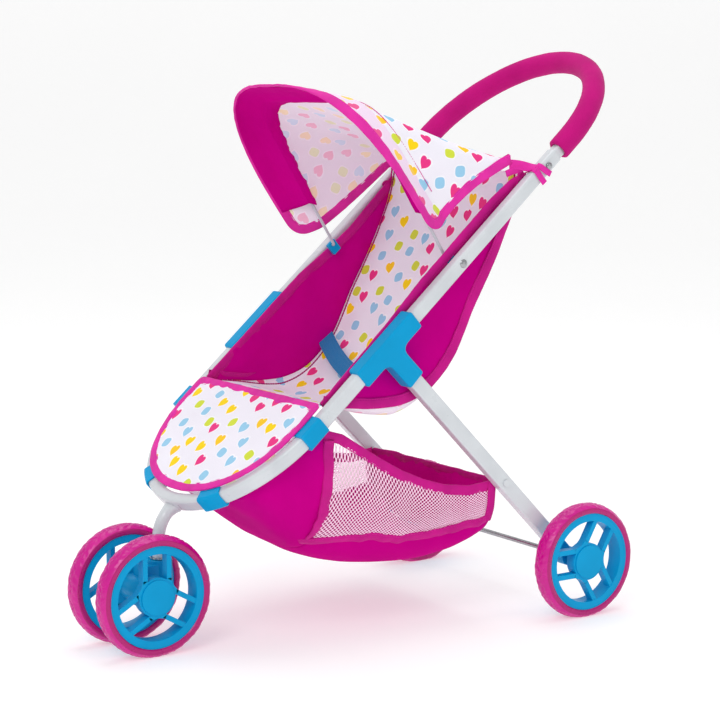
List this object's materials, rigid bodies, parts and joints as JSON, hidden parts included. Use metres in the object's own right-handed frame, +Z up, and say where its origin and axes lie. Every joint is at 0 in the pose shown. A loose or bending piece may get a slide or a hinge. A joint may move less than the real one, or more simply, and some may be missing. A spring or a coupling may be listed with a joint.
{
  "type": "doll stroller",
  "caption": "Toy stroller with a tilted tube frame, push handle, twin front caster, rear wheels, hammock seat, folding canopy and under-seat basket.",
  "frame": {"origin": "on the floor, under the middle of the overall box", "axes": "front faces -Y, +Z up, the rider's left is +X"},
  "size_m": [0.3002, 0.5674, 0.5573],
  "materials": {
    "white_enamel": "gloss white enamel on steel tube",
    "blue_plastic": "moulded, semi-gloss",
    "steel": "bright zinc plate",
    "foam": "matte foam",
    "tyre": "satin moulded tread",
    "printed_fabric": "white woven polyester with a coloured print",
    "magenta_fabric": "plain woven polyester",
    "pink_binding": "bias binding",
    "blue_webbing": "flat webbing",
    "mesh": "open knit mesh",
    "label": "blank woven label"
  },
  "bodies": {
    "frame": {"front_frame": "white_enamel", "rail_left": "white_enamel", "rail_right": "white_enamel", "handle_tube": "white_enamel", "foam_grip": "foam", "button_spring_left": "steel", "button_spring_right": "steel", "tee_left": "blue_plastic", "tee_right": "blue_plastic", "leg_left": "white_enamel", "leg_right": "white_enamel", "leg_foot_left": "blue_plastic", "leg_foot_right": "blue_plastic", "rear_axle": "steel", "rear_push_nuts": "steel", "rear_spacers": "blue_plastic", "neck_tube": "white_enamel", "neck_plug": "white_enamel", "swivel_pin": "steel", "swivel_washer": "steel", "loop_clips": "blue_plastic", "rail_clips": "blue_plastic", "canopy_clip_left": "blue_plastic", "canopy_clip_right": "blue_plastic", "canopy_screws": "steel", "canopy_ties": "pink_binding", "seat_strip": "printed_fabric", "seat_wall_left": "magenta_fabric", "seat_wall_right": "magenta_fabric", "lap_strap": "blue_webbing", "footrest_panel": "printed_fabric", "basket_front": "magenta_fabric", "basket_floor": "magenta_fabric", "basket_mesh_left": "mesh", "basket_mesh_right": "mesh", "basket_rear_wall": "magenta_fabric", "basket_screws": "steel", "care_label": "label"},
    "caster": {"caster_housing": "blue_plastic", "front_axle": "steel", "front_push_nuts": "steel"},
    "canopy": {"canopy_bow": "white_enamel", "canopy_visor": "printed_fabric", "visor_lining": "magenta_fabric", "canopy_cover": "printed_fabric"},
    "rear_wheel_left": {"tyre_rear_left": "tyre", "rim_rear_left": "blue_plastic", "hub_cap_rear_left": "blue_plastic"},
    "front_wheel_left": {"tyre_front_left": "tyre", "rim_front_left": "blue_plastic", "hub_cap_front_left": "blue_plastic"},
    "button_left": {"snap_button_left": "steel"},
    "rear_wheel_right": {"tyre_rear_right": "tyre", "rim_rear_right": "blue_plastic", "hub_cap_rear_right": "blue_plastic"},
    "front_wheel_right": {"tyre_front_right": "tyre", "rim_front_right": "blue_plastic", "hub_cap_front_right": "blue_plastic"},
    "button_right": {"snap_button_right": "steel"}
  },
  "joints": [
    {"name": "caster_swivel", "type": "hinge", "parent": "frame", "child": "caster", "pos_m": [0, -0.205, 0.07], "axis": [0, 0, 1], "continuous": true},
    {"name": "canopy_fold", "type": "hinge", "parent": "frame", "child": "canopy", "pos_m": [0, 0.05396, 0.36012], "axis": [1, 0, 0], "range_deg": [-57, 0], "deforming": ["canopy_cover"]},
    {"name": "rear_wheel_left_spin", "type": "hinge", "parent": "frame", "child": "rear_wheel_left", "pos_m": [0, 0.1925, 0.0575], "axis": [1, 0, 0], "continuous": true},
    {"name": "front_wheel_left_spin", "type": "hinge", "parent": "caster", "child": "front_wheel_left", "pos_m": [0, -0.2262, 0.0575], "axis": [1, 0, 0], "continuous": true},
    {"name": "button_left_press", "type": "slide", "parent": "frame", "child": "button_left", "axis": [-1, 0, 0], "range_m": [0, 0.0025], "stiffness_N_per_m": 400, "springref_m": -0.001, "deforming": ["button_spring_left"]},
    {"name": "rear_wheel_right_spin", "type": "hinge", "parent": "frame", "child": "rear_wheel_right", "pos_m": [0, 0.1925, 0.0575], "axis": [1, 0, 0], "continuous": true},
    {"name": "front_wheel_right_spin", "type": "hinge", "parent": "caster", "child": "front_wheel_right", "pos_m": [0, -0.2262, 0.0575], "axis": [1, 0, 0], "continuous": true},
    {"name": "button_right_press", "type": "slide", "parent": "frame", "child": "button_right", "axis": [1, 0, 0], "range_m": [0, 0.0025], "stiffness_N_per_m": 400, "springref_m": -0.001, "deforming": ["button_spring_right"]}
  ]
}
